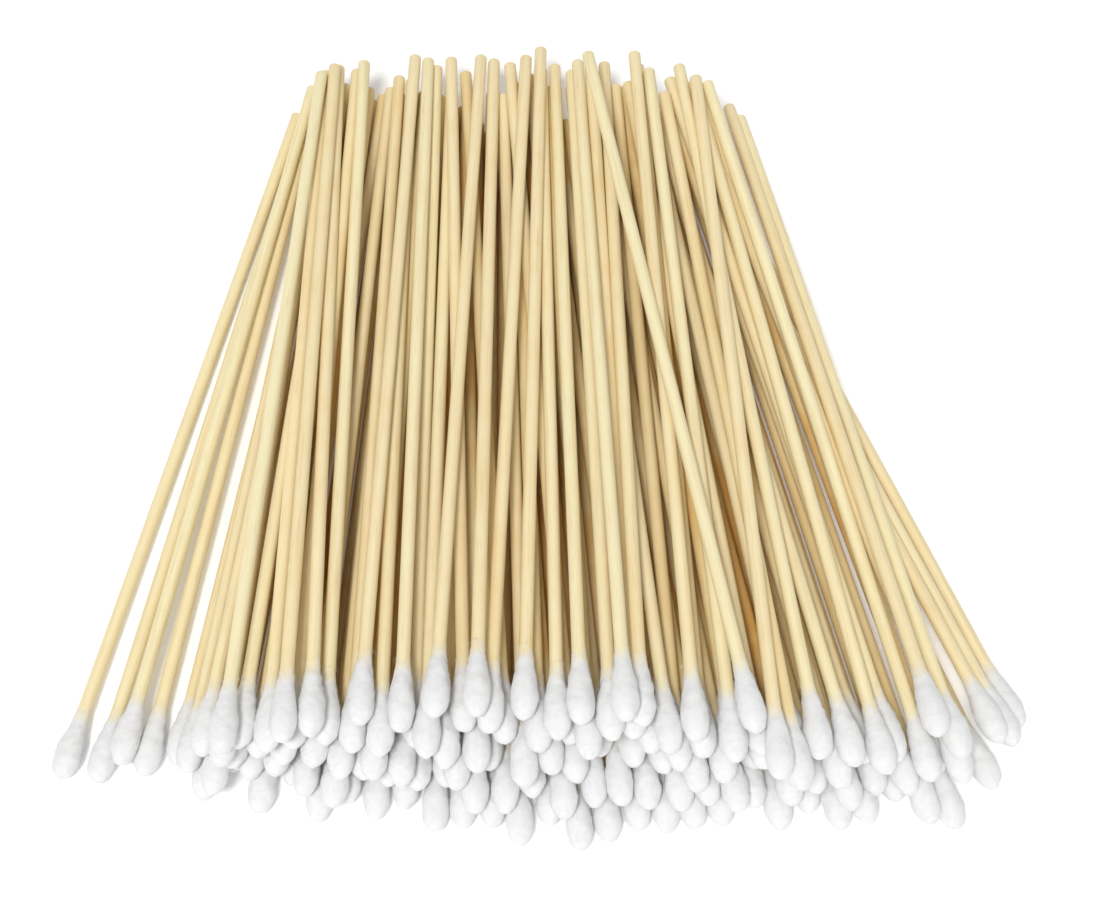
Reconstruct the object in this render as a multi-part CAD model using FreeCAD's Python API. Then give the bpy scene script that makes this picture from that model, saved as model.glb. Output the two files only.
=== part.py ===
"""A fanned pile of long single-ended cotton swabs, each a wooden stick with a wound cotton tip.

Millimetres, +Z up. The cotton ends point to -Y and the bare stick ends to +Y.
The pile lies on the plane z = 0, with the origin under the middle of its box.
"""
import FreeCAD, Part

import math
import os
import random

# One swab, measured along its axis from the end of the cotton
swab_length = 152.0
stick_diameter = 2.5
stick_end_rounding = 0.4
tip_length = 13.6
tip_diameter = 4.8
tip_belly_at = 3.8
tip_taper_power = 2.0
tip_edge_thickness = 0.15
tip_cap = 2.2
balance_share = 0.47

# Room left between swabs that touch: stick on stick, and cotton on anything
stick_clearance = 0.02
cotton_clearance = 0.06

# The pile's courses, from the table upwards, and the zones of a course from left to right
course_names = ("bottom", "lower", "middle", "upper", "top")
zone_names = ("far_left", "left", "centre_left", "centre_right", "right", "far_right")

# Room between neighbouring tips of a row
tip_room = 0.4

# The rows of cotton tips and of far ends, each as a value for the bottom course and one for the top
tip_row_left = (-70.0, -55.0)
tip_row_right = (76.0, 47.0)
far_row_left = (-46.0, -50.5)
far_row_right = (33.0, 35.0)
tip_row_front = (-77.5, -64.0)
tip_row_sagitta = (10.0, -6.0)
tip_row_foremost = (0.6, 0.42)
tip_scatter = (0.3, 2.0)
far_scatter = (0.3, 7.0)
reach_scatter = (4.0, 1.8)

# Swabs at the sides, laid first on the table: tip x, tip y and far end x
left_strays = ((-88.3, -67.4, -53.9), (-81.8, -68.2, -51.5), (-73.3, -67.0, -49.6), (-77.2, -65.8, -50.2))
right_strays = ((86.2, -57.9, 28.6), (80.5, -69.3, 27.0), (84.2, -62.2, 27.0), (81.0, -62.9, 25.0))

# Swabs laid last: two at the right edge, and three whose far ends stand out past the others
right_edge_swabs = ((70.0, -68.0, 38.5), (65.0, -66.0, 36.0))
outstanding_swabs = ((3.0, -64.5, 3.7), (16.0, -65.5, 8.5), (38.4, -66.5, 10.5))

# How far a swab may roll from its wanted place to lie lower, and what each millimetre costs in height
tip_slides = (0.0, 0.9, -0.9, 1.8, -1.8, 2.7, -2.7)
far_slides = (0.0, 1.2, -1.2, 2.4, -2.4)
slide_cost = 0.03
far_slide_cost = 0.018

# How finely contacts are worked out, and the order in which swabs fall
station_step = 1.25
contact_rounds = 12
height_error = 0.0001
order_seed = 4

# Spans of the cotton's outline behind its belly and in front of it
back_spans = 6
front_spans = 4

stick_radius = stick_diameter / 2
tip_radius = tip_diameter / 2
balance_at = swab_length * balance_share
widest_contact = tip_diameter + 2 * cotton_clearance


def cotton_radius(s):
    """Radius of the cotton at s: a rounded end, a belly, then a long taper onto the stick."""
    if s <= tip_belly_at:
        share = (tip_belly_at - s) / tip_belly_at
        return tip_radius * math.sqrt(max(0.0, 1 - share * share))
    edge = stick_radius + tip_edge_thickness
    share = (tip_length - s) / (tip_length - tip_belly_at)
    return edge + (tip_radius - edge) * math.sin(math.pi / 2 * share) ** tip_taper_power


def clear_radius(s):
    """Radius that neighbours stay outside of, at s past the round end."""
    if s < tip_belly_at:
        return tip_radius
    if s > tip_length:
        return stick_radius
    return cotton_radius(s)


def cotton_stations():
    """Places along the cotton where a ball of the clear radius stands for it."""
    count = math.ceil((tip_length - tip_radius) / station_step)
    step = (tip_length - tip_radius) / count
    places = [tip_radius + step * i for i in range(count + 1)]
    return [(s, clear_radius(s)) for s in places]


stations = cotton_stations()


class Swab:
    """The axis of one swab: a plan line from the cotton's end, and its height along that line."""

    def __init__(self, tip_x, tip_y, far_x):
        lean = math.asin((tip_x - far_x) / swab_length)
        self.x = tip_x
        self.y = tip_y
        self.sin = math.sin(lean)
        self.cos = math.cos(lean)
        self.height = 0.0
        self.slope = 0.0
        self.stretch = 1.0

    def settle(self, height, slope):
        self.height = height
        self.slope = slope
        self.stretch = math.hypot(1, slope)

    def point(self, s):
        """Point of the axis at plan distance s from the cotton's end."""
        return (self.x - self.sin * s, self.y + self.cos * s, self.height + self.slope * s)


class Crossing:
    """How the plan line of one swab runs over another: along = a0 + a1 s, across = c0 + c1 s."""

    def __init__(self, upper, under):
        dx = upper.x - under.x
        dy = upper.y - under.y
        self.a0 = dy * under.cos - dx * under.sin
        self.a1 = upper.sin * under.sin + upper.cos * under.cos
        self.c0 = dx * under.cos + dy * under.sin
        self.c1 = upper.cos * under.sin - upper.sin * under.cos
        self.under = under

    def is_far(self):
        ends = (self.c0, self.c0 + self.c1 * swab_length)
        return min(ends) > widest_contact or max(ends) < -widest_contact

    def stick_span(self, reach):
        """Stretch of the upper stick that lies over the other stick, or None."""
        low = max(tip_length, (tip_length - self.a0) / self.a1)
        high = min(swab_length, (swab_length - self.a0) / self.a1)
        if abs(self.c1) > 1e-9:
            edges = sorted(((-reach - self.c0) / self.c1, (reach - self.c0) / self.c1))
            low = max(low, edges[0])
            high = min(high, edges[1])
        elif abs(self.c0) >= reach:
            return None
        return (low, high) if low < high else None

    def stick_height(self, s, reach):
        """Height at which the upper axis clears the other stick at s."""
        across = self.c0 + self.c1 * s
        rise = math.sqrt(max(0.0, reach * reach - across * across)) * self.under.stretch
        return self.under.height + self.under.slope * (self.a0 + self.a1 * s) + rise

    def tightest(self, slope, span, reach):
        """Places in the span where a line of this slope comes closest to the other stick."""
        if abs(self.c1) < 1e-9:
            return span
        ratio = (self.under.slope * self.a1 - slope) / (self.under.stretch * self.c1)
        across = reach * ratio / math.hypot(1, ratio)
        return (min(max((across - self.c0) / self.c1, span[0]), span[1]),)


def ball_height(along, across, ball, stretch, base):
    """Height that a ball needs beside an axis, or None where they pass clear of each other."""
    square = across * across
    if along < tip_radius:
        square += (tip_radius - along) ** 2
        along = tip_radius
    reach = ball + clear_radius(along) + cotton_clearance
    if square >= reach * reach:
        return None
    return base(along) + math.sqrt(reach * reach - square) * stretch


def cotton_on_swab(crossing):
    """Points that hold the upper swab's cotton above the other swab."""
    under = crossing.under
    points = []
    for s, ball in stations:
        along = crossing.a0 + crossing.a1 * s
        if along > swab_length:
            continue
        across = crossing.c0 + crossing.c1 * s
        height = ball_height(along, across, ball, under.stretch, lambda a: under.height + under.slope * a)
        if height is not None:
            points.append((s, height))
    return points


def swab_on_cotton(upper, under):
    """Points that hold the upper swab above the other swab's cotton."""
    points = []
    for place, ball in stations:
        x, y, z = under.point(place)
        across = (x - upper.x) * upper.cos + (y - upper.y) * upper.sin
        along = (y - upper.y) * upper.cos - (x - upper.x) * upper.sin
        if abs(across) > widest_contact or along > swab_length:
            continue
        height = ball_height(along, across, ball, under.stretch, lambda a: z)
        if height is not None:
            points.append((max(along, tip_radius), height))
    return points


def resting_line(points):
    """Height at s = 0 and slope of the lowest line over the points, held on both sides of the balance."""
    hull = []
    for s, height in sorted(points):
        if hull and hull[-1][0] == s:
            hull.pop()
        while len(hull) > 1 and bends_up(hull[-2], hull[-1], (s, height)):
            hull.pop()
        hull.append((s, height))
    for left, right in zip(hull, hull[1:]):
        if left[0] <= balance_at <= right[0]:
            slope = (right[1] - left[1]) / (right[0] - left[0])
            return left[1] - slope * left[0], slope
    raise ValueError("the swab isn't held on both sides of its balance point")


def bends_up(first, second, third):
    """True where the second point lies on or under the line from the first to the third."""
    run = second[0] - first[0]
    return (second[1] - first[1]) * (third[0] - first[0]) <= (third[1] - first[1]) * run


def come_to_rest(swab, laid, ceiling):
    """Lowers the swab onto the table and the laid swabs, and returns its height at the balance.

    Returns None as soon as that height is known to pass the ceiling.
    """
    points = [(s, ball) for s, ball in stations]
    points.append((swab_length, stick_radius))
    reach = stick_diameter + stick_clearance
    spans = []
    for under in laid:
        crossing = Crossing(swab, under)
        if crossing.is_far():
            continue
        span = crossing.stick_span(reach)
        if span:
            spans.append((crossing, span))
        points.extend(cotton_on_swab(crossing))
        points.extend(swab_on_cotton(swab, under))
    for _ in range(contact_rounds):
        height, slope = resting_line(points)
        if height + slope * balance_at > ceiling:
            return None
        blocked = []
        for crossing, span in spans:
            for s in crossing.tightest(slope, span, reach):
                needed = crossing.stick_height(s, reach)
                if height + slope * s < needed - height_error:
                    blocked.append((s, needed))
        if not blocked:
            break
        points.extend(blocked)
    swab.settle(height, slope)
    return height + slope * balance_at


def lay(place, laid, may_roll=True):
    """Lays a swab near its wanted place, where it lies lowest for the least rolling."""
    tip_x, tip_y, far_x = place
    best = None
    lowest = math.inf
    for tip_slide in tip_slides if may_roll else (0.0,):
        for far_slide in far_slides if may_roll else (0.0,):
            cost = slide_cost * abs(tip_slide) + far_slide_cost * abs(far_slide)
            swab = Swab(tip_x + tip_slide, tip_y, far_x + far_slide)
            height = come_to_rest(swab, laid, lowest - cost)
            if height is not None and height + cost < lowest:
                lowest = height + cost
                best = swab
    laid.append(best)
    return best


def course_places(level, chance):
    """Wanted places of one course in the order in which its swabs are laid: tip x, tip y and far x."""
    share = level / (len(course_names) - 1)

    def graded(pair, power=1):
        return pair[0] + (pair[1] - pair[0]) * share ** power

    left = graded(tip_row_left)
    width = graded(tip_row_right, 2) - left
    far_left = graded(far_row_left)
    far_width = graded(far_row_right) - far_left
    count = round(width / (tip_diameter + tip_room))
    order = list(range(count))
    chance.shuffle(order)
    places = []
    for i in order:
        across = (i + 0.5) / count
        tip_x = left + width * across + graded(tip_scatter) * chance.uniform(-1, 1)
        far_x = far_left + far_width * across + graded(far_scatter) * chance.uniform(-1, 1)
        from_foremost = across / graded(tip_row_foremost) - 1
        tip_y = graded(tip_row_front) + graded(tip_row_sagitta) * from_foremost ** 2
        tip_y += graded(reach_scatter) * chance.uniform(-1, 1)
        places.append((tip_x, tip_y, far_x))
    return places


def lay_pile():
    """Lays every swab and returns the courses, each as a list of swabs from left to right."""
    chance = random.Random(order_seed)
    laid = []
    courses = [[] for _ in course_names]
    for place in left_strays + right_strays:
        courses[0].append(lay(place, laid, may_roll=False))
    for level, course in enumerate(courses):
        for place in course_places(level, chance):
            course.append(lay(place, laid, may_roll=level > 0))
    for place in right_edge_swabs + outstanding_swabs:
        courses[-1].append(lay(place, laid))
    return [sorted(course, key=lambda swab: swab.x) for course in courses]


def stick_solid():
    """A dowel along +Z: cut square inside the cotton, with its bare end rounded over."""
    dowel = Part.makeCylinder(stick_radius, swab_length - tip_cap, FreeCAD.Vector(0, 0, tip_cap))
    bare_end = max(dowel.Edges, key=lambda edge: edge.CenterOfMass.z)
    return dowel.makeFillet(stick_end_rounding, [bare_end])


def cotton_solid():
    """The wound cotton: a turned shape along +Z, with a blind bore that the stick fills."""
    back = [tip_length - (tip_length - tip_belly_at) * i / back_spans for i in range(back_spans + 1)]
    turns = [math.pi / 2 * (i + 1) / front_spans for i in range(front_spans)]
    front = [tip_belly_at * (1 - math.sin(turn)) for turn in turns]
    outline = [FreeCAD.Vector(cotton_radius(s), 0, s) for s in back + front]
    skin = Part.BSplineCurve()
    skin.interpolate(Points=outline)
    corners = [
        outline[-1],
        FreeCAD.Vector(0, 0, tip_cap),
        FreeCAD.Vector(stick_radius, 0, tip_cap),
        FreeCAD.Vector(stick_radius, 0, tip_length),
        outline[0],
    ]
    edges = [skin.toShape()]
    for start, end in zip(corners, corners[1:]):
        edges.append(Part.LineSegment(start, end).toShape())
    section = Part.Face(Part.Wire(Part.sortEdges(edges)[0]))
    return section.revolve(FreeCAD.Vector(0, 0, 0), FreeCAD.Vector(0, 0, 1), 360)


def placed(shape, swab, shift):
    """A copy of a piece made along +Z, laid on the swab's axis and moved by the shift."""
    direction = FreeCAD.Vector(-swab.sin, swab.cos, swab.slope)
    turn = FreeCAD.Rotation(FreeCAD.Vector(0, 0, 1), direction)
    copy = shape.copy()
    copy.Placement = FreeCAD.Placement(FreeCAD.Vector(*swab.point(0)) + shift, turn)
    return copy


def shift_to_origin(courses, cotton, stick):
    """Move that puts the origin under the middle of the whole pile's box."""
    home = FreeCAD.Vector(0, 0, 0)
    pieces = []
    for swab in sum(courses, []):
        pieces.append(placed(cotton, swab, home))
        pieces.append(placed(stick, swab, home))
    box = Part.makeCompound(pieces).optimalBoundingBox(False, False)
    return FreeCAD.Vector(-box.Center.x, -box.Center.y, -box.ZMin)


def export_zone(name, swabs, cotton, stick, shift):
    """Writes the sticks and the cotton tips of one zone of a course, each set as its own node."""
    for kind, shape in (("sticks", stick), ("cotton_tips", cotton)):
        pieces = [placed(shape, swab, shift) for swab in swabs]
        Part.makeCompound(pieces).exportStep("parts/" + name + "_" + kind + ".step")


def main():
    os.makedirs("parts", exist_ok=True)
    courses = lay_pile()
    stick = stick_solid()
    cotton = cotton_solid()
    shift = shift_to_origin(courses, cotton, stick)
    for course_name, course in zip(course_names, courses):
        for i, zone_name in enumerate(zone_names):
            first = len(course) * i // len(zone_names)
            last = len(course) * (i + 1) // len(zone_names)
            export_zone(course_name + "_" + zone_name, course[first:last], cotton, stick, shift)
    heights = [swab.point(0)[2] for swab in courses[-1]]
    print("swabs", sum(len(course) for course in courses), "top tips", min(heights), "to", max(heights))


main()
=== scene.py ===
# %% [markdown]
# # A fanned pile of long cotton swabs
#
# The object is a heap of long wooden swabs, each with cotton wound on one end, spread like a fan
# on a white table. The construction is already settled: every stick and every cotton tip is a
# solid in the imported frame. This lesson reads where each swab lies, then dresses it: a planed
# wooden stick with grain, and a soft tip of wound cotton with stray fibres.

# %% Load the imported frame
import math

import bmesh
import bpy
import numpy as np
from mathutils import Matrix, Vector


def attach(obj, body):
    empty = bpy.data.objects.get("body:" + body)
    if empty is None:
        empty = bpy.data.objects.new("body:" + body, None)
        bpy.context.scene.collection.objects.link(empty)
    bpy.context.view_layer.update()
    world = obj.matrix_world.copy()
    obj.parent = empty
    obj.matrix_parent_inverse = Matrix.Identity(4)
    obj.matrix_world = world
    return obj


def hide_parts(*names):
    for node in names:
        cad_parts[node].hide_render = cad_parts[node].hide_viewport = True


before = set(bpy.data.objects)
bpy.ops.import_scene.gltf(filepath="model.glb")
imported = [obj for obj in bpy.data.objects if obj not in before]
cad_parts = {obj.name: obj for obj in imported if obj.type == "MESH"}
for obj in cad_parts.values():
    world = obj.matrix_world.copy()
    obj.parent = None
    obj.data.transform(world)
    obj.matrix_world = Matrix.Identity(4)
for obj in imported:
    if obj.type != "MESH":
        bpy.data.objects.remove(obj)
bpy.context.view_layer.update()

MM = 0.001

# %% [markdown]
# ## Where each swab lies
#
# A CAD node holds the sticks, or the cotton tips, of one zone of the pile as separate shells.
# Places typed in by hand would drift from the solids, so each shell is measured instead. The
# longest direction of a stick's points is its axis, and the cotton shell nearest to the stick's
# square end tells where the swab begins.

# %% Split a node into its shells
WELD = 0.001 * MM
END_SLICE = 0.05 * MM


def shells(node):
    """The separate shells of a CAD node, each as an array of its points."""
    solid = bmesh.new()
    solid.from_mesh(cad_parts[node].data)
    bmesh.ops.remove_doubles(solid, verts=solid.verts, dist=WELD)
    seen = set()
    found = []
    for first in solid.verts:
        if first in seen:
            continue
        seen.add(first)
        reached = [first]
        for vert in reached:
            for edge in vert.link_edges:
                other = edge.other_vert(vert)
                if other not in seen:
                    seen.add(other)
                    reached.append(other)
        found.append(np.array([vert.co for vert in reached]))
    solid.free()
    return found


# %% Measure a stick and the cotton on it
def stick_axis(points):
    """The middle of a stick's square end, and its direction towards the bare end."""
    middle = points.mean(axis=0)
    direction = np.linalg.svd(points - middle, full_matrices=False)[2][0]
    if direction[1] < 0:
        direction = -direction
    along = (points - middle) @ direction
    start = points[along < along.min() + END_SLICE].mean(axis=0)
    end = points[along > along.max() - END_SLICE].mean(axis=0)
    return start, (end - start) / np.linalg.norm(end - start)


def along_and_out(points, start, direction):
    """How far along an axis the points lie, and how far out from it."""
    along = (points - start) @ direction
    out = np.linalg.norm(points - start - np.outer(along, direction), axis=1)
    return along, out


def read_swab(stick, tips):
    """One swab's place: its cotton end, direction and measures."""
    start, direction = stick_axis(stick)
    tip = min(tips, key=lambda points: np.linalg.norm(points.mean(axis=0) - start))
    stick_along, stick_out = along_and_out(stick, start, direction)
    tip_along, tip_out = along_and_out(tip, start, direction)
    return {
        "origin": start + direction * tip_along.min(),
        "direction": direction,
        "tip_cap": -tip_along.min(),
        "length": stick_along.max() - tip_along.min(),
        "stick_radius": stick_out.max(),
        "tip_radius": tip_out.max(),
        "tip_length": tip_along.max() - tip_along.min(),
        "belly_at": tip_along[tip_out.argmax()] - tip_along.min(),
    }


# %% Read the whole pile
zones = sorted(name[: -len("_sticks")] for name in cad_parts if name.endswith("_sticks"))
pile = {}
for zone in zones:
    zone_tips = shells(zone + "_cotton_tips")
    pile[zone] = [read_swab(stick, zone_tips) for stick in shells(zone + "_sticks")]

swab = next(iter(pile.values()))[0]
LENGTH = float(swab["length"])
STICK_RADIUS = float(swab["stick_radius"])
TIP_RADIUS = float(swab["tip_radius"])
TIP_LENGTH = float(swab["tip_length"])
TIP_CAP = float(swab["tip_cap"])
BELLY_AT = float(swab["belly_at"])
print("swabs", sum(len(swabs) for swabs in pile.values()))
for name in ("length", "stick_radius", "tip_radius", "tip_length", "tip_cap", "belly_at"):
    print(name, round(float(swab[name]) / MM, 3))

# %% [markdown]
# ## Writing node trees like sums
#
# A material or a Geometry Nodes tree is a formula, and a formula reads best as one. `Wire` wraps
# a socket and overloads the operators, so `1 - mask * 0.3` adds its Math nodes by itself. `Tree`
# has one method for every other kind of node.

# %% A socket that does sums
class Wire:
    """An output socket of a node in a tree."""

    def __init__(self, tree, socket):
        self.tree = tree
        self.socket = socket

    def is_vector(self):
        return self.socket.type in ("VECTOR", "RGBA")

    def __add__(self, other):
        return self.tree.sum("ADD", self, other)

    def __radd__(self, other):
        return self.tree.sum("ADD", other, self)

    def __sub__(self, other):
        return self.tree.sum("SUBTRACT", self, other)

    def __rsub__(self, other):
        return self.tree.sum("SUBTRACT", other, self)

    def __mul__(self, other):
        return self.tree.sum("MULTIPLY", self, other)

    def __rmul__(self, other):
        return self.tree.sum("MULTIPLY", other, self)

    def __truediv__(self, other):
        return self.tree.sum("DIVIDE", self, other)


# %% A tree with one method for any node
class Tree:
    """A node tree that is filled by adding nodes."""

    def __init__(self, tree):
        self.tree = tree

    def add(self, kind, settings=None, sockets=None, out=0):
        """Adds a node, sets its settings and then its sockets, and returns one of its outputs."""
        node = self.tree.nodes.new(kind)
        for name, value in (settings or {}).items():
            if name == "stops":
                self.set_stops(node.color_ramp, value)
            else:
                setattr(node, name, value)
        for key, value in (sockets or {}).items():
            self.fill(node.inputs[key], value)
        return Wire(self, node.outputs[out])

    def fill(self, socket, value):
        if isinstance(value, Wire):
            self.tree.links.new(value.socket, socket)
        else:
            socket.default_value = value

    def set_stops(self, ramp, stops):
        while len(ramp.elements) < len(stops):
            ramp.elements.new(1.0)
        for element, (position, colour) in zip(ramp.elements, stops):
            element.position = position
            element.color = colour

    def sum(self, operation, first, second):
        """One arithmetic step, on vectors where either side is a vector."""
        if any(isinstance(side, Wire) and side.is_vector() for side in (first, second)):
            return self.add("ShaderNodeVectorMath", {"operation": operation}, {0: first, 1: second})
        return self.add("ShaderNodeMath", {"operation": operation}, {0: first, 1: second})

    def maths(self, operation, *sides):
        return self.add("ShaderNodeMath", {"operation": operation}, dict(enumerate(sides)))

    def vector(self, x, y, z):
        return self.add("ShaderNodeCombineXYZ", None, {0: x, 1: y, 2: z})

    def parts(self, vector):
        node = self.add("ShaderNodeSeparateXYZ", None, {0: vector}).socket.node
        return [Wire(self, output) for output in node.outputs]

    def noise(self, vector, scale, detail=2.0, roughness=0.5):
        sockets = {"Vector": vector, "Scale": scale, "Detail": detail, "Roughness": roughness}
        return self.add("ShaderNodeTexNoise", None, sockets)

    def fade(self, value, low, high):
        """0 below low and 1 above high, with a smooth step between."""
        sockets = {"Value": value, "From Min": low, "From Max": high}
        return self.add("ShaderNodeMapRange", {"interpolation_type": "SMOOTHSTEP"}, sockets)


# %% [markdown]
# ## Patterns to copy: one stick and one cotton tip
#
# Both pieces are turned shapes, so both come from one small lathe: rings of points round the Z
# axis, closed by a pole at each end. The place of each point on the pattern is stored as the
# attribute `place`, because wood grain and cotton edges follow the swab wherever it lies.

# %% A small lathe
def turned(name, outline, sides):
    """A closed turned mesh from (radius, z) points that begin and end on the axis."""
    shape = bmesh.new()
    angles = [2 * math.pi * i / sides for i in range(sides)]
    rings = []
    for radius, z in outline[1:-1]:
        rings.append([shape.verts.new((radius * math.cos(a), radius * math.sin(a), z)) for a in angles])
    for below, above in zip(rings, rings[1:]):
        for i in range(sides):
            j = (i + 1) % sides
            shape.faces.new((below[i], below[j], above[j], above[i]))
    for (radius, z), ring, turn in ((outline[0], rings[0], -1), (outline[-1], rings[-1], 1)):
        pole = shape.verts.new((radius, 0, z))
        for i in range(sides):
            corners = (ring[i], ring[(i + 1) % sides])[::turn]
            shape.faces.new((*corners, pole))
    bmesh.ops.recalc_face_normals(shape, faces=shape.faces)
    mesh = bpy.data.meshes.new(name)
    shape.to_mesh(mesh)
    shape.free()
    keep_place(mesh)
    return mesh


def keep_place(mesh):
    """Stores each point's own place, which goes along when the pattern is copied."""
    place = mesh.attributes.new("place", "FLOAT_VECTOR", "POINT")
    flat = np.empty(len(mesh.vertices) * 3, np.float32)
    mesh.vertices.foreach_get("co", flat)
    place.data.foreach_set("vector", flat)
    mesh.shade_smooth()


# %% The stick pattern
STICK_SIDES = 20
STICK_SPANS = 20
END_ROUNDING = 0.4 * MM
END_STEPS = 4

stick_outline = [(0.0, TIP_CAP), (STICK_RADIUS, TIP_CAP)]
for i in range(1, STICK_SPANS + 1):
    stick_outline.append((STICK_RADIUS, TIP_CAP + (LENGTH - END_ROUNDING - TIP_CAP) * i / STICK_SPANS))
for i in range(1, END_STEPS + 1):
    turn = math.pi / 2 * i / END_STEPS
    radius = STICK_RADIUS - END_ROUNDING * (1 - math.cos(turn))
    stick_outline.append((radius, LENGTH - END_ROUNDING * (1 - math.sin(turn))))
stick_outline.append((STICK_RADIUS * 0.4, LENGTH))
stick_outline.append((0.0, LENGTH))
stick_pattern = turned("stick_pattern", stick_outline, STICK_SIDES)
print("stick pattern faces", len(stick_pattern.polygons))

# %% The cotton pattern
COTTON_SIDES = 32
FRONT_RINGS = 8
BACK_RINGS = 20
TAPER_POWER = 2.0
TAIL_LENGTH = TIP_LENGTH + 0.9 * MM
TAIL_RADIUS = STICK_RADIUS - 0.04 * MM
PLUMP_RADIUS = TIP_RADIUS + 0.07 * MM
BORE_RADIUS = STICK_RADIUS * 0.9


def cotton_radius(z):
    """A rounded end, a belly near the front, then a long taper that dips just under the wood."""
    if z <= BELLY_AT:
        return PLUMP_RADIUS * math.sqrt(max(0.0, 1 - (1 - z / BELLY_AT) ** 2))
    share = (TAIL_LENGTH - z) / (TAIL_LENGTH - BELLY_AT)
    return TAIL_RADIUS + (PLUMP_RADIUS - TAIL_RADIUS) * math.sin(math.pi / 2 * share) ** TAPER_POWER


cotton_outline = [(0.0, 0.0)]
for i in range(1, FRONT_RINGS + 1):
    z = BELLY_AT * (1 - math.cos(math.pi / 2 * i / FRONT_RINGS))
    cotton_outline.append((cotton_radius(z), z))
for i in range(1, BACK_RINGS + 1):
    z = BELLY_AT + (TAIL_LENGTH - BELLY_AT) * i / BACK_RINGS
    cotton_outline.append((cotton_radius(z), z))
cotton_outline.append((BORE_RADIUS, TAIL_LENGTH))
cotton_outline.append((BORE_RADIUS, TIP_CAP))
cotton_outline.append((0.0, TIP_CAP))
cotton_pattern = turned("cotton_pattern", cotton_outline, COTTON_SIDES)
print("cotton pattern faces", len(cotton_pattern.polygons))

# %% [markdown]
# ## Stray fibres
#
# Wound cotton never ends in a clean skin: fine fibres stand off it and blur its outline. Each is
# a thin three-sided thread that touches the cotton at its middle and leaves it at both ends.
# One curled thread is enough as a pattern, because it is turned and scaled at random.

# %% The fibre pattern
FIBRE_LENGTH = 2.2 * MM
FIBRE_RADIUS = 0.026 * MM
FIBRE_CURL = 0.3 * MM
FIBRE_WAVE = 2.2
FIBRE_LIFT = 0.2
FIBRE_THINNING = 0.6
FIBRE_SPANS = 4


def fibre_mesh():
    """A thin curled thread along X, with its middle at the origin."""
    shape = bmesh.new()
    rings = []
    for i in range(FIBRE_SPANS + 1):
        share = 2 * i / FIBRE_SPANS - 1
        aside = FIBRE_CURL * math.sin(FIBRE_WAVE * share)
        lift = FIBRE_CURL * FIBRE_LIFT * share ** 2
        centre = Vector((share * FIBRE_LENGTH / 2, aside, lift))
        thick = FIBRE_RADIUS * (1 - FIBRE_THINNING * abs(share))
        ring = []
        for corner in range(3):
            angle = 2 * math.pi * corner / 3
            ring.append(shape.verts.new(centre + Vector((0, math.cos(angle), math.sin(angle))) * thick))
        rings.append(ring)
    for below, above in zip(rings, rings[1:]):
        for i in range(3):
            j = (i + 1) % 3
            shape.faces.new((below[i], below[j], above[j], above[i]))
    shape.faces.new(rings[0])
    shape.faces.new(rings[-1])
    bmesh.ops.recalc_face_normals(shape, faces=shape.faces)
    mesh = bpy.data.meshes.new("fibre_pattern")
    shape.to_mesh(mesh)
    shape.free()
    return mesh


fibre_pattern = fibre_mesh()
print("fibre pattern faces", len(fibre_pattern.polygons))

# %% [markdown]
# ## How deep each swab lies, which sets the wood's painted shade
#
# Deep between other swabs the wood shows browner, because it lies in shade there. Light alone
# leaves those places grey, so that shade is painted into the wood's colour, which is made browner
# there. Each swab is walked along in steps, and at each step the swabs that pass over it, or close
# beside it and higher, are counted.

# %% Depth in steps along each swab, for the painted shade
DEPTH_STEPS = 20
SHADE_REACH = STICK_RADIUS * 3
HIGHER_BY = STICK_RADIUS * 1.5
FULL_SHADE = 5

every_swab = [one for zone in zones for one in pile[zone]]
starts = np.array([one["origin"] for one in every_swab])
directions = np.array([one["direction"] for one in every_swab])
step_places = np.linspace(0, LENGTH, DEPTH_STEPS)


def shade_depths(one):
    """At each step along a swab, 0 where it lies open and 1 where FULL_SHADE others lie over it."""
    found = []
    for step in step_places:
        point = one["origin"] + one["direction"] * step
        along = (point[1] - starts[:, 1]) / directions[:, 1]
        beside = starts + directions * along[:, None]
        near = np.abs(beside[:, 0] - point[0]) < SHADE_REACH
        higher = beside[:, 2] > point[2] + HIGHER_BY
        above = np.sum(near & higher & (along > 0) & (along < LENGTH))
        found.append(min(1.0, above / FULL_SHADE))
    padded = np.pad(found, 1, mode="edge")
    return (padded[:-2] + padded[1:-1] + padded[2:]) / 3


painted_shade_by_swab = np.array([shade_depths(one) for one in every_swab])
print("mean depth", round(float(painted_shade_by_swab.mean()), 2))

# %% [markdown]
# ## Guides: one point for each swab
#
# Geometry Nodes copy a pattern onto the points of a guide. Each zone of the pile gets a guide
# with a point at every swab's cotton end, which carries the swab's direction, a turn about its
# own axis, a tone between 0 and 1 that later helps pick the colour of its wood, and its number in
# the pile. Once the pile is laid, that number leads to the swab's own list of depths, which set
# the wood's painted shade.

# %% Guide meshes
GUIDE_SEED = 7
chance = np.random.default_rng(GUIDE_SEED)


def guide_mesh(zone):
    """A mesh of loose points with the attributes direction, turn, tone and number."""
    swabs = pile[zone]
    first = sum(len(pile[other]) for other in zones[: zones.index(zone)])
    mesh = bpy.data.meshes.new(zone + "_guide")
    mesh.from_pydata([tuple(float(v) for v in one["origin"]) for one in swabs], [], [])
    direction = mesh.attributes.new("direction", "FLOAT_VECTOR", "POINT")
    direction.data.foreach_set("vector", np.array([one["direction"] for one in swabs], np.float32).ravel())
    turn = chance.uniform(0, 2 * math.pi, len(swabs))
    tone = chance.uniform(0, 1, len(swabs))
    number = first + np.arange(len(swabs))
    for name, values in (("turn", turn), ("tone", tone), ("number", number)):
        layer = mesh.attributes.new(name, "FLOAT", "POINT")
        layer.data.foreach_set("value", values.astype(np.float32))
    return mesh


guides = {zone: guide_mesh(zone) for zone in zones}
print("guides", len(guides))

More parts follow.
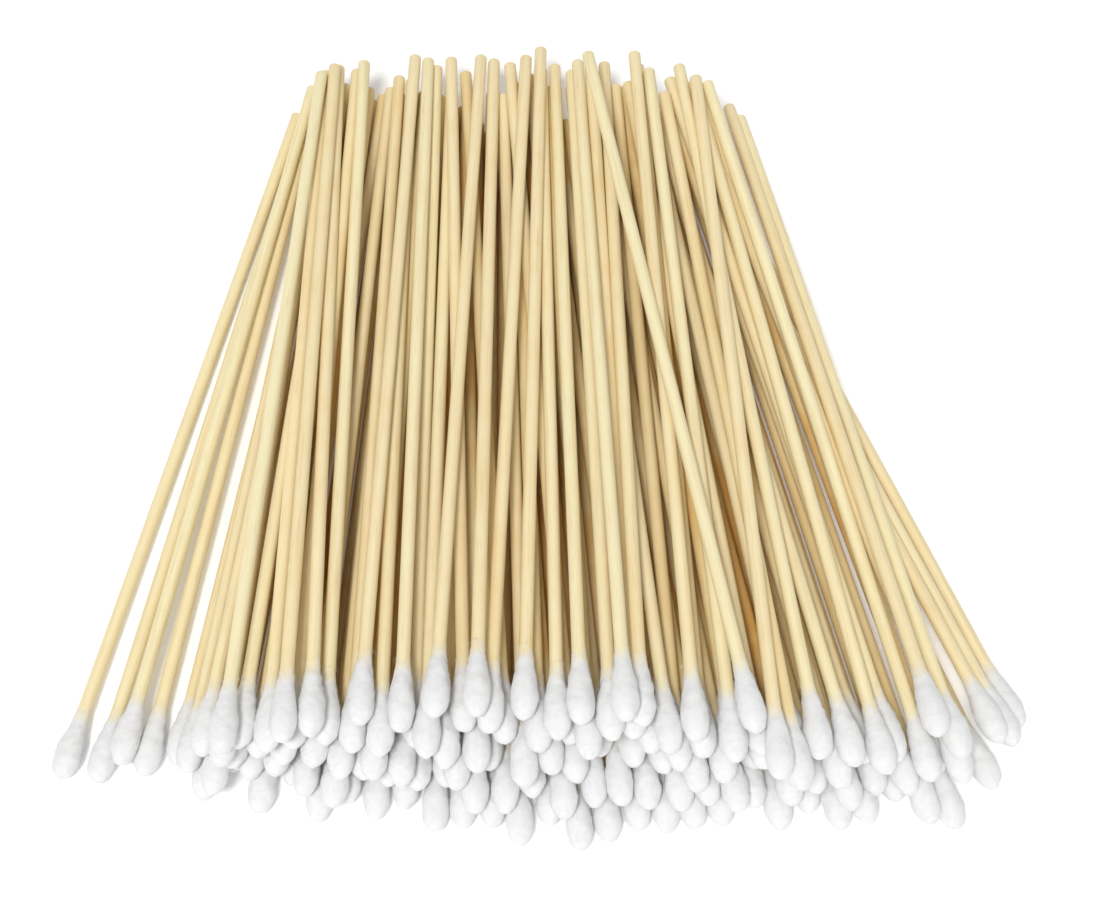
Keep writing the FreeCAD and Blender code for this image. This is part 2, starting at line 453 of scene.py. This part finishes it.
# %% [markdown]
# ## The tree that lays the sticks
#
# Turning wood leaves it almost round and almost straight. The tree copies the stick pattern onto
# the guide, turns each copy about its axis, and then moves the surface by a hundredth of a
# millimetre or two along a slow noise, so that no two sticks catch the light alike.

# %% Steps that both trees share
def new_tree(name, inputs):
    """An empty Geometry Nodes tree with the named inputs, and the wires of those inputs."""
    group = bpy.data.node_groups.new(name, "GeometryNodeTree")
    group.interface.new_socket("Guide", in_out="INPUT", socket_type="NodeSocketGeometry")
    group.interface.new_socket("Result", in_out="OUTPUT", socket_type="NodeSocketGeometry")
    for label, kind in inputs:
        group.interface.new_socket(label, in_out="INPUT", socket_type=kind)
    tree = Tree(group)
    start = group.nodes.new("NodeGroupInput")
    wires = {output.name: Wire(tree, output) for output in start.outputs if output.name}
    return tree, wires


def attribute(tree, name, kind="FLOAT"):
    """The named attribute as a field."""
    return tree.add("GeometryNodeInputNamedAttribute", {"data_type": kind}, {"Name": name})


def place_parts(tree):
    """Across, across and along: a point's place on the pattern that it was copied from."""
    return tree.parts(attribute(tree, "place", "FLOAT_VECTOR"))


def laid_copies(tree, guide, pattern):
    """The pattern on every guide point, along the swab's direction and turned about it."""
    shape = tree.add("GeometryNodeObjectInfo", None, {"Object": pattern}, out="Geometry")
    along = attribute(tree, "direction", "FLOAT_VECTOR")
    facing = tree.add("FunctionNodeAlignRotationToVector", {"axis": "Z"}, {"Vector": along})
    about = tree.add(
        "FunctionNodeAxisAngleToRotation", None, {"Axis": (0, 0, 1), "Angle": attribute(tree, "turn")}
    )
    turned_rotation = tree.add(
        "FunctionNodeRotateRotation", {"rotation_space": "LOCAL"}, {"Rotation": facing, "Rotate By": about}
    )
    sockets = {"Points": guide, "Instance": shape, "Rotation": turned_rotation}
    copies = tree.add("GeometryNodeInstanceOnPoints", None, sockets)
    return tree.add("GeometryNodeRealizeInstances", None, {"Geometry": copies})


def finish_tree(tree, geometry, material):
    """Realizes what is left, sets the material and closes the tree."""
    real = tree.add("GeometryNodeRealizeInstances", None, {"Geometry": geometry})
    painted = tree.add("GeometryNodeSetMaterial", None, {"Geometry": real, "Material": material})
    end = tree.tree.nodes.new("NodeGroupOutput")
    tree.fill(end.inputs["Result"], painted)
    return tree.tree


# %% The stick tree
def stick_tree():
    inputs = [
        ("Pattern", "NodeSocketObject"),
        ("Wobble", "NodeSocketFloat"),
        ("Wobble Scale", "NodeSocketFloat"),
        ("Finish", "NodeSocketMaterial"),
    ]
    tree, wires = new_tree("lay_sticks", inputs)
    sticks = laid_copies(tree, wires["Guide"], wires["Pattern"])
    here = tree.add("GeometryNodeInputPosition")
    outwards = tree.add("GeometryNodeInputNormal")
    swell = (tree.noise(here, wires["Wobble Scale"], 1.0) - 0.5) * wires["Wobble"]
    shift = tree.add("ShaderNodeVectorMath", {"operation": "SCALE"}, {0: outwards, "Scale": swell})
    moved = tree.add("GeometryNodeSetPosition", None, {"Geometry": sticks, "Offset": shift})
    return finish_tree(tree, moved, wires["Finish"])


stick_recipe = stick_tree()
print("nodes in the stick tree", len(stick_recipe.nodes))

# %% [markdown]
# ## The tree that winds the cotton
#
# Cotton is wound on by a spinning machine, so its surface has soft lumps, and faint ridges that
# run round it at a slant. Near its edge the layer is thinner than a hair, so a small noise there
# lifts it out of the wood or lets it sink in, and the edge comes out ragged by itself. The stray
# fibres are scattered over the result and lie mostly the way the cotton was wound.

# %% The cotton's skin and its shape
THIN_EDGE = 3.0 * MM
RIDGE_PITCH = 1.1 * MM
RIDGE_WANDER = 9
WANDER_SCALE = 900.0
EDGE_TONGUES = 1.3
TONGUE_VARIETY = 40


def skin_mask(tree):
    """1 on the outside of the cotton and 0 in its bore."""
    x, y, z = place_parts(tree)
    outside = tree.fade(tree.maths("SQRT", x * x + y * y), BORE_RADIUS, STICK_RADIUS)
    return tree.maths("MAXIMUM", outside, 1 - tree.fade(z, TIP_CAP * 0.5, TIP_CAP))


def cotton_shift(tree, wires):
    """How far each point of the cotton moves out: lumps and ridges, and the ragged thin edge."""
    here = tree.add("GeometryNodeInputPosition")
    outwards = tree.add("GeometryNodeInputNormal")
    x, y, z = place_parts(tree)
    angle = tree.maths("ARCTAN2", y, x)
    covered = 1 - tree.fade(z, TIP_LENGTH - THIN_EDGE, TIP_LENGTH - THIN_EDGE * 0.3)
    lumps = (tree.noise(here, wires["Lump Scale"], 2.0, 0.6) - 0.5) * wires["Lump Height"] * 2
    wander = tree.noise(here, WANDER_SCALE, 1.0) * RIDGE_WANDER
    winding = angle + z * (2 * math.pi / RIDGE_PITCH) + wander
    ridges = tree.maths("SINE", winding) * wires["Ridge Height"]
    radius = tree.maths("MAXIMUM", tree.maths("SQRT", x * x + y * y), BORE_RADIUS)
    rim = tree.vector(x / radius, y / radius, attribute(tree, "tone") * TONGUE_VARIETY)
    ragged = (tree.noise(rim, EDGE_TONGUES, 1.0) - 0.5) * wires["Ragged Edge"] * 2 * (1 - covered)
    out = ((lumps + ridges) * covered + ragged) * skin_mask(tree)
    return tree.add("ShaderNodeVectorMath", {"operation": "SCALE"}, {0: outwards, "Scale": out})


# %% Scattered fibres
SHORTEST_FIBRE = 0.45
LONGEST_FIBRE = 1.25


def random_float(tree, low, high, seed):
    """A random number for each point, always the same for one seed."""
    node = tree.tree.nodes.new("FunctionNodeRandomValue")
    node.data_type = "FLOAT"
    node.inputs[2].default_value = low
    node.inputs[3].default_value = high
    node.inputs["Seed"].default_value = seed
    return Wire(tree, node.outputs[1])


def scattered_fibres(tree, cotton, wires, density, heading, spread, seed):
    """Threads on the skin of the cotton, laid along a heading give or take a spread in radians.

    Halving their place along the swab keeps them clear of the edge, where the colour turns to wood.
    """
    scatter = tree.tree.nodes.new("GeometryNodeDistributePointsOnFaces")
    tree.fill(scatter.inputs["Mesh"], cotton)
    tree.fill(scatter.inputs["Density"], density)
    scatter.inputs["Seed"].default_value = seed
    upright = tree.add(
        "FunctionNodeAlignRotationToVector", {"axis": "Z"}, {"Vector": Wire(tree, scatter.outputs["Normal"])}
    )
    laid = tree.add(
        "FunctionNodeAlignRotationToVector",
        {"axis": "X", "pivot_axis": "Z"},
        {"Rotation": upright, "Vector": heading},
    )
    angle = random_float(tree, -spread, spread, seed)
    swing = tree.add("FunctionNodeAxisAngleToRotation", None, {"Axis": (0, 0, 1), "Angle": angle})
    turned_rotation = tree.add(
        "FunctionNodeRotateRotation", {"rotation_space": "LOCAL"}, {"Rotation": laid, "Rotate By": swing}
    )
    shape = tree.add("GeometryNodeObjectInfo", None, {"Object": wires["Fibre"]}, out="Geometry")
    white_place = attribute(tree, "place", "FLOAT_VECTOR") * (1, 1, 0.5)
    points = tree.add(
        "GeometryNodeStoreNamedAttribute",
        {"data_type": "FLOAT_VECTOR", "domain": "POINT"},
        {"Geometry": Wire(tree, scatter.outputs["Points"]), "Name": "place", "Value": white_place},
    )
    sockets = {
        "Points": points,
        "Instance": shape,
        "Rotation": turned_rotation,
        "Scale": random_float(tree, SHORTEST_FIBRE, LONGEST_FIBRE, seed + 1),
    }
    return tree.add("GeometryNodeInstanceOnPoints", None, sockets)


# %% The cotton tree
NECK_FROM = TIP_LENGTH - 2.4 * MM
NECK_TO = TIP_LENGTH - 1.2 * MM
BODY_SPREAD = 1.0
NECK_SPREAD = 0.3
BODY_SEED = 3
NECK_SEED = 17


def cotton_tree():
    inputs = [
        ("Pattern", "NodeSocketObject"),
        ("Fibre", "NodeSocketObject"),
        ("Lump Height", "NodeSocketFloat"),
        ("Lump Scale", "NodeSocketFloat"),
        ("Ridge Height", "NodeSocketFloat"),
        ("Ragged Edge", "NodeSocketFloat"),
        ("Fibres per Area", "NodeSocketFloat"),
        ("Neck Fibres per Area", "NodeSocketFloat"),
        ("Finish", "NodeSocketMaterial"),
    ]
    tree, wires = new_tree("wind_cotton", inputs)
    tips = laid_copies(tree, wires["Guide"], wires["Pattern"])
    shift = cotton_shift(tree, wires)
    moved = tree.add("GeometryNodeSetPosition", None, {"Geometry": tips, "Offset": shift})
    along = attribute(tree, "direction", "FLOAT_VECTOR")
    normal = tree.add("GeometryNodeInputNormal")
    across = tree.add("ShaderNodeVectorMath", {"operation": "CROSS_PRODUCT"}, {0: along, 1: normal})
    at_neck = tree.fade(place_parts(tree)[2], NECK_FROM, NECK_TO) * skin_mask(tree)
    on_body = skin_mask(tree) * (1 - at_neck)
    body_density = on_body * wires["Fibres per Area"]
    neck_density = at_neck * wires["Neck Fibres per Area"]
    fuzz = scattered_fibres(tree, moved, wires, body_density, across, BODY_SPREAD, BODY_SEED)
    feather = scattered_fibres(tree, moved, wires, neck_density, along, NECK_SPREAD, NECK_SEED)
    joined = tree.tree.nodes.new("GeometryNodeJoinGeometry")
    for part in (moved, fuzz, feather):
        tree.fill(joined.inputs[0], part)
    return finish_tree(tree, Wire(tree, joined.outputs[0]), wires["Finish"])


cotton_recipe = cotton_tree()
print("nodes in the cotton tree", len(cotton_recipe.nodes))

# %% [markdown]
# ## Wood
#
# The sticks are plain pale wood, straw yellow, never varnished. Three things tell it from
# plastic: each stick has its own tone, thin streaks run along it, and the cut end is a little
# darker because it drinks the light. The pattern is read from `place`, stretched along the
# stick, and pushed aside by the stick's tone so that no two sticks share their grain.

# %% Shader helpers
def new_material(name, roughness):
    """A material with one Principled shader, and its tree."""
    material = bpy.data.materials.new(name)
    material.use_nodes = True
    tree = Tree(material.node_tree)
    shader = material.node_tree.nodes["Principled BSDF"]
    shader.inputs["Roughness"].default_value = roughness
    return material, tree, shader


def shader_attribute(tree, name, out):
    return tree.add("ShaderNodeAttribute", {"attribute_name": name}, None, out=out)


def mixed(tree, share, first, second):
    """Two colours mixed by a share."""
    node = tree.tree.nodes.new("ShaderNodeMix")
    node.data_type = "RGBA"
    tree.fill(node.inputs[0], share)
    tree.fill(node.inputs[6], first)
    tree.fill(node.inputs[7], second)
    return Wire(tree, node.outputs[2])


def bumped(tree, height, distance, strength):
    sockets = {"Height": height, "Distance": distance, "Strength": strength}
    return tree.add("ShaderNodeBump", None, sockets)


# %% The wood material
STRAW = (0.88, 0.79, 0.49, 1)
CREAM = (0.87, 0.73, 0.44, 1)
HONEY = (0.81, 0.62, 0.29, 1)
# The darkest brown, reached mostly where painted shade browns the wood deep in the pile.
NUT_AND_SHADE_BROWN = (0.70, 0.37, 0.08, 1)
GRAIN_BROWN = (0.60, 0.38, 0.16, 1)
TONE_SHARE = 0.4
# Share of the painted shade: how much browner the wood is made where other swabs lie over it.
PAINTED_SHADE_SHARE = 0.6
DRIFT = 0.7
DRIFT_SCALE = 70.0
STRETCH_ALONG = 0.035
FINE_GRAIN = 5200.0
BROAD_GRAIN = 1300.0
PORES = 7000.0
WOOD_RELIEF = 0.02 * MM


def wood_body(tree, tone, z):
    """The colour of one stick, which drifts a little along it, with painted shade that makes it browner
    where other swabs lie over it.
    """
    # Painted shade: the stored depth, near 1 where many swabs lie over this spot, browns the wood.
    depth = shader_attribute(tree, "depth", "Fac")
    slow = tree.noise(tree.vector(tone * 3, z, 0.0), DRIFT_SCALE, 3.0, 0.6)
    brownness = tone * TONE_SHARE + depth * PAINTED_SHADE_SHARE + slow * DRIFT - DRIFT / 2
    # The browner stops are reached mostly through the painted shade.
    tones = {"stops": ((0.0, STRAW), (0.35, CREAM), (0.7, HONEY), (1.0, NUT_AND_SHADE_BROWN))}
    return tree.add("ShaderNodeValToRGB", tones, {"Fac": brownness})


def wood_material():
    material, tree, shader = new_material("planed_wood", 0.5)
    place = shader_attribute(tree, "place", "Vector")
    tone = shader_attribute(tree, "tone", "Fac")
    x, y, z = tree.parts(place)
    streak_place = tree.vector(x + tone * 0.7, y - tone * 0.4, z * STRETCH_ALONG + tone)
    fine = tree.noise(streak_place, FINE_GRAIN, 3.0, 0.6)
    broad = tree.noise(streak_place, BROAD_GRAIN, 2.0, 0.5)
    streaks = tree.fade(fine, 0.52, 0.78) * 0.34 + tree.fade(broad, 0.5, 0.75) * 0.22
    grained = mixed(tree, streaks, wood_body(tree, tone, z), GRAIN_BROWN)
    cut = tree.fade(z, LENGTH - 0.15 * MM, LENGTH)
    pores = tree.fade(tree.noise(place, PORES, 1.0), 0.42, 0.62)
    coloured = mixed(tree, cut * (0.25 + pores * 0.4), grained, GRAIN_BROWN)
    tree.fill(shader.inputs["Base Color"], coloured)
    tree.fill(shader.inputs["Roughness"], 0.46 + fine * 0.22)
    tree.fill(shader.inputs["Normal"], bumped(tree, fine + broad * 0.6, WOOD_RELIEF, 0.6))
    shader.inputs["Specular IOR Level"].default_value = 0.55
    return material


wood = wood_material()
print("nodes in the wood", len(wood.node_tree.nodes))

# %% [markdown]
# ## Cotton
#
# Cotton is nearly pure white and has no gloss, so it gets a pale base, some sheen and a woolly
# bump. Near its edge the layer is so thin that the wood shows through in streaks, which is a mix
# towards the wood's colour under a noise that is stretched along the stick.

# %% The cotton material
COTTON_WHITE = (0.80, 0.80, 0.795, 1)
COTTON_SHADE = (0.73, 0.735, 0.745, 1)
WRAP = 0.35 * MM
THREADS = 3200.0
CLUMPS = 1100.0
SHOW_THROUGH = 2200.0
SHOW_RAGGED = 5 * MM
SHOW_FROM = TIP_LENGTH - 3.4 * MM
SHOW_TO = TIP_LENGTH - 0.2 * MM
COTTON_RELIEF = 0.07 * MM


def cotton_material():
    material, tree, shader = new_material("wound_cotton", 0.95)
    x, y, z = tree.parts(shader_attribute(tree, "place", "Vector"))
    tone = shader_attribute(tree, "tone", "Fac")
    angle = tree.maths("ARCTAN2", y, x)
    wound = tree.vector(angle * WRAP + z * 0.2, z + tone, tone * 0.3)
    threads = tree.noise(wound, THREADS, 3.0, 0.65)
    clumps = tree.noise(tree.vector(x + tone, y, z), CLUMPS, 2.0)
    body = mixed(tree, tree.fade(clumps, 0.35, 0.75) * 0.6, COTTON_WHITE, COTTON_SHADE)
    streaks = tree.noise(tree.vector(x + tone, y, z * 0.12), SHOW_THROUGH, 2.0)
    thin = tree.fade(z + (streaks - 0.5) * SHOW_RAGGED, SHOW_FROM, SHOW_TO)
    # Where the cotton thins the wood's colour shows through, its painted shade deep in the pile included.
    tree.fill(shader.inputs["Base Color"], mixed(tree, thin * 0.9, body, wood_body(tree, tone, z)))
    tree.fill(shader.inputs["Normal"], bumped(tree, threads + clumps * 0.8, COTTON_RELIEF, 0.45))
    shader.inputs["Specular IOR Level"].default_value = 0.15
    shader.inputs["Sheen Weight"].default_value = 0.15
    shader.inputs["Sheen Roughness"].default_value = 0.6
    return material


cotton = cotton_material()
print("nodes in the cotton", len(cotton.node_tree.nodes))

# %% [markdown]
# ## Laying the whole pile
#
# Each zone now gets two pieces: its sticks and its cotton tips. A Geometry Nodes modifier is
# only a recipe, so the evaluated result is taken as a plain mesh and the modifier removed. Each
# point of that mesh still knows its swab's number and its place along the swab, so how deep it
# lies is looked up and stored with it, to drive the painted shade. Then the piece rides on the
# body and stands in for its CAD node.

# %% Store the painted shade on a laid mesh
def keep_painted_shade(mesh):
    """Stores on each point of a laid mesh how deep its swab lies there, which drives the painted shade."""
    count = len(mesh.vertices)
    number = np.empty(count, np.float32)
    mesh.attributes["number"].data.foreach_get("value", number)
    place = np.empty(count * 3, np.float32)
    mesh.attributes["place"].data.foreach_get("vector", place)
    along = place.reshape(count, 3)[:, 2]
    depth = np.empty(count, np.float32)
    for i in np.unique(number):
        own = number == i
        depth[own] = np.interp(along[own], step_places, painted_shade_by_swab[round(float(i))])
    # Stored as the painted shade that browns the wood where other swabs cover it.
    mesh.attributes.new("depth", "FLOAT", "POINT").data.foreach_set("value", depth)


# %% Turn a recipe into a plain piece
def pattern_object(mesh):
    """An object that holds a pattern while the trees read it."""
    pattern = bpy.data.objects.new(mesh.name, mesh)
    bpy.context.scene.collection.objects.link(pattern)
    return pattern


def grown(name, guide, tree, values):
    """The plain mesh piece that a tree makes from a guide."""
    piece = bpy.data.objects.new(name, guide)
    bpy.context.scene.collection.objects.link(piece)
    modifier = piece.modifiers.new("recipe", "NODES")
    modifier.node_group = tree
    for item in tree.interface.items_tree:
        if item.in_out == "INPUT" and item.name in values:
            modifier[item.identifier] = values[item.name]
    depsgraph = bpy.context.evaluated_depsgraph_get()
    mesh = bpy.data.meshes.new_from_object(
        piece.evaluated_get(depsgraph), preserve_all_data_layers=True, depsgraph=depsgraph
    )
    piece.modifiers.clear()
    keep_painted_shade(mesh)
    piece.data = mesh
    mesh.name = name
    return piece


def settle(piece, node):
    """The piece rides on the pile's body and replaces its CAD node."""
    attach(piece, "root")
    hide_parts(node)


# %% Lay the sticks and wind the cotton
patterns = [pattern_object(mesh) for mesh in (stick_pattern, cotton_pattern, fibre_pattern)]
stick_object, cotton_object, fibre_object = patterns
stick_values = {
    "Pattern": stick_object,
    "Wobble": 0.05 * MM,
    "Wobble Scale": 120.0,
    "Finish": wood,
}
cotton_values = {
    "Pattern": cotton_object,
    "Fibre": fibre_object,
    "Lump Height": 0.42 * MM,
    "Lump Scale": 420.0,
    "Ridge Height": 0.02 * MM,
    "Ragged Edge": 0.09 * MM,
    "Fibres per Area": 0.5e6,
    "Neck Fibres per Area": 1.8e6,
    "Finish": cotton,
}
triangles = 0
for zone in zones:
    sticks = grown(zone + "_wood", guides[zone].copy(), stick_recipe, stick_values)
    settle(sticks, zone + "_sticks")
    tips = grown(zone + "_cotton", guides[zone].copy(), cotton_recipe, cotton_values)
    settle(tips, zone + "_cotton_tips")
    for piece in (sticks, tips):
        triangles += sum(len(face.vertices) - 2 for face in piece.data.polygons)
for pattern in patterns:
    bpy.data.objects.remove(pattern)
print("triangles", triangles)

# %% [markdown]
# ## Table, light and camera
#
# The swabs lie on plain white in bright, even light with no hard shadow. A soft light stands
# above and in front, near the camera's line, so that the shadows hide behind what casts them. A
# wide low one in front opens the shade between the cotton tips without reaching between the
# sticks, and the world fills a little. The table glows a trace, as a sheet of milky plastic lit
# from below does, which keeps its shade pale. The camera looks down at the photograph's angle.

# %% The table
TABLE_HALF = 1.5
TABLE_WHITE = (0.99, 0.99, 0.99, 1)
TABLE_GLOW = 0.07


def white_table():
    mesh = bpy.data.meshes.new("table")
    corners = [(-TABLE_HALF, -TABLE_HALF, 0), (TABLE_HALF, -TABLE_HALF, 0)]
    corners += [(TABLE_HALF, TABLE_HALF, 0), (-TABLE_HALF, TABLE_HALF, 0)]
    mesh.from_pydata(corners, [], [(0, 1, 2, 3)])
    table = bpy.data.objects.new("table", mesh)
    bpy.context.scene.collection.objects.link(table)
    material, _, shader = new_material("table_white", 0.9)
    shader.inputs["Base Color"].default_value = TABLE_WHITE
    shader.inputs["Specular IOR Level"].default_value = 0.1
    shader.inputs["Emission Color"].default_value = (1, 1, 1, 1)
    shader.inputs["Emission Strength"].default_value = TABLE_GLOW
    mesh.materials.append(material)


white_table()


# %% The lights
WORLD_STRENGTH = 0.53


def soft_light(name, place, size, power):
    """A round area light that faces the middle of the pile."""
    data = bpy.data.lights.new(name, "AREA")
    data.shape = "DISK"
    data.size = size
    data.energy = power
    lamp = bpy.data.objects.new(name, data)
    lamp.location = place
    lamp.rotation_mode = "QUATERNION"
    lamp.rotation_quaternion = (-Vector(place)).to_track_quat("-Z", "Y")
    bpy.context.scene.collection.objects.link(lamp)


soft_light("key", place=(-0.32, -0.84, 1.86), size=0.5, power=25.2)
soft_light("front", place=(0.1, -1.0, 0.35), size=0.8, power=0.9)

world = bpy.data.worlds.new("studio")
bpy.context.scene.world = world
world.use_nodes = True
world.node_tree.nodes["Background"].inputs["Color"].default_value = (1, 1, 1, 1)
world.node_tree.nodes["Background"].inputs["Strength"].default_value = WORLD_STRENGTH
bpy.context.scene.view_settings.view_transform = "Standard"

# %% The camera
ELEVATION = math.radians(63)
DISTANCE = 394 * MM
LENS = 65.6
SENSOR = 36.0
AIM = Vector((1.26, -4.18, 0.0)) * MM

camera_data = bpy.data.cameras.new("camera")
camera_data.lens = LENS
camera_data.sensor_width = SENSOR
camera_data.sensor_fit = "HORIZONTAL"
camera_data.clip_start = 0.01
camera = bpy.data.objects.new("camera", camera_data)
camera.location = AIM + Vector((0, -math.cos(ELEVATION), math.sin(ELEVATION))) * DISTANCE
camera.rotation_euler = (math.pi / 2 - ELEVATION, 0, 0)
bpy.context.scene.collection.objects.link(camera)
bpy.context.scene.camera = camera
